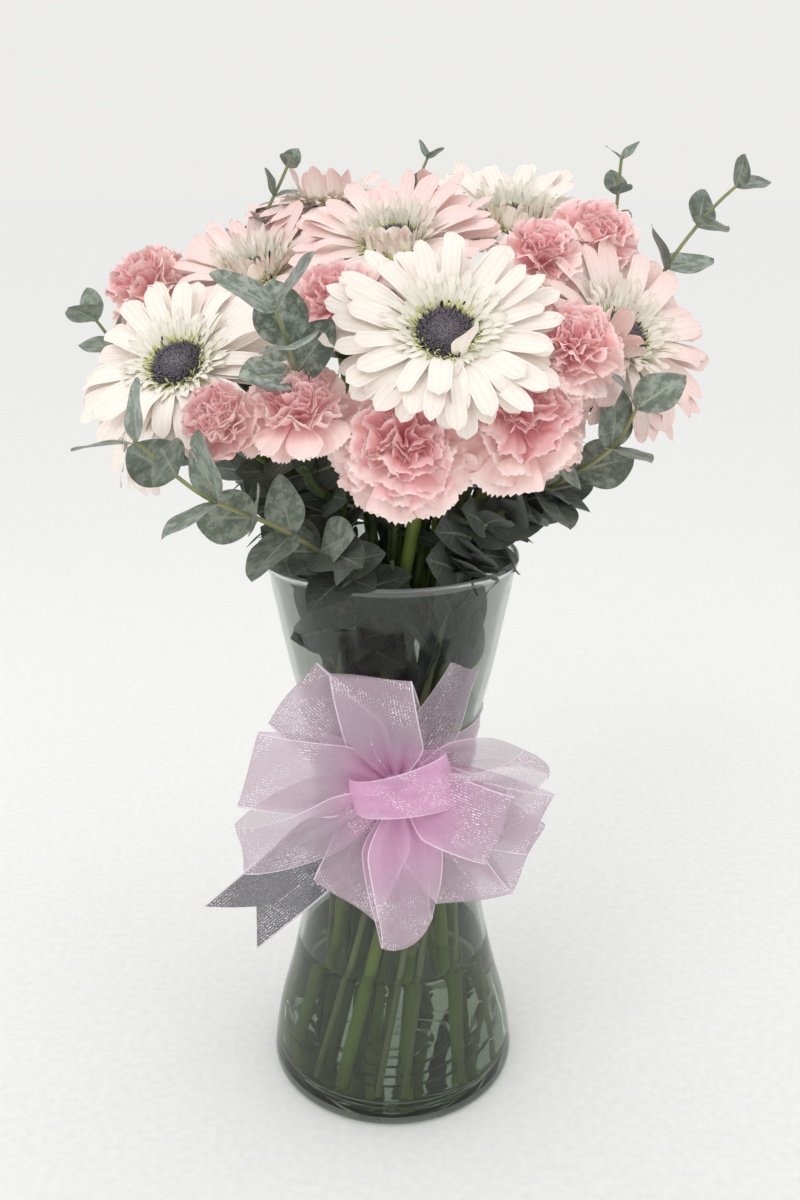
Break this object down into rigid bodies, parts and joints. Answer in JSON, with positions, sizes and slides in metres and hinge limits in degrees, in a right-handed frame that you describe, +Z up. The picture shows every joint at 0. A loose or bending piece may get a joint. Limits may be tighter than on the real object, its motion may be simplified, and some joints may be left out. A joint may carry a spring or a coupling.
{
  "type": "gerberas in a vase",
  "caption": "Mixed bouquet of gerberas, carnations and eucalyptus standing in water in a waisted clear glass vase, tied with a wide organza bow.",
  "frame": {"origin": "centre of the vase's flat foot, on the surface it stands on", "axes": "+Z up along the vase's axis, -Y towards the front of the bouquet where the bow is, +X to the viewer's right"},
  "size_m": [0.2828, 0.2321, 0.446],
  "materials": {
    "glass": "clear polished glass with a faint grey-green cast",
    "water": "still clear water",
    "organza": "sheer lilac-pink organza with a fine glitter and a pale selvedge",
    "gerbera_cream": "matt cream petals, blush at the tips",
    "gerbera_pink": "matt pale pink petals, white towards the eye",
    "gerbera_eye": "dark purple-brown disc with yellow-green florets round it",
    "green_stem": "green, slightly waxy stem and leaf",
    "carnation_pink": "frilled salmon-pink petals with paler edges",
    "eucalyptus": "waxy grey-green round leaves on yellow-green stems"
  },
  "bodies": {
    "root": {"vase": "glass", "water": "water", "ribbon_band": "organza", "ribbon_bow": "organza", "gerbera_1_petals": "gerbera_cream", "gerbera_1_eye": "gerbera_eye", "gerbera_1_stem": "green_stem", "gerbera_2_petals": "gerbera_cream", "gerbera_2_eye": "gerbera_eye", "gerbera_2_stem": "green_stem", "gerbera_3_petals": "gerbera_cream", "gerbera_3_eye": "gerbera_eye", "gerbera_3_stem": "green_stem", "gerbera_4_petals": "gerbera_pink", "gerbera_4_eye": "gerbera_eye", "gerbera_4_stem": "green_stem", "gerbera_5_petals": "gerbera_pink", "gerbera_5_eye": "gerbera_eye", "gerbera_5_stem": "green_stem", "gerbera_6_petals": "gerbera_cream", "gerbera_6_eye": "gerbera_eye", "gerbera_6_stem": "green_stem", "gerbera_7_petals": "gerbera_pink", "gerbera_7_eye": "gerbera_eye", "gerbera_7_stem": "green_stem", "gerbera_8_petals": "gerbera_pink", "gerbera_8_eye": "gerbera_eye", "gerbera_8_stem": "green_stem", "gerbera_9_petals": "gerbera_cream", "gerbera_9_eye": "gerbera_eye", "gerbera_9_stem": "green_stem", "carnation_1_petals": "carnation_pink", "carnation_1_stem": "green_stem", "carnation_2_petals": "carnation_pink", "carnation_2_stem": "green_stem", "carnation_3_petals": "carnation_pink", "carnation_3_stem": "green_stem", "carnation_4_petals": "carnation_pink", "carnation_4_stem": "green_stem", "carnation_5_petals": "carnation_pink", "carnation_5_stem": "green_stem", "carnation_6_petals": "carnation_pink", "carnation_6_stem": "green_stem", "carnation_7_petals": "carnation_pink", "carnation_7_stem": "green_stem", "carnation_8_petals": "carnation_pink", "carnation_8_stem": "green_stem", "carnation_9_petals": "carnation_pink", "carnation_9_stem": "green_stem", "carnation_10_petals": "carnation_pink", "carnation_10_stem": "green_stem", "eucalyptus_1": "eucalyptus", "eucalyptus_2": "eucalyptus", "eucalyptus_3": "eucalyptus", "eucalyptus_4": "eucalyptus", "eucalyptus_5": "eucalyptus", "eucalyptus_6": "eucalyptus", "eucalyptus_7": "eucalyptus", "eucalyptus_8": "eucalyptus", "eucalyptus_9": "eucalyptus"}
  },
  "joints": []
}
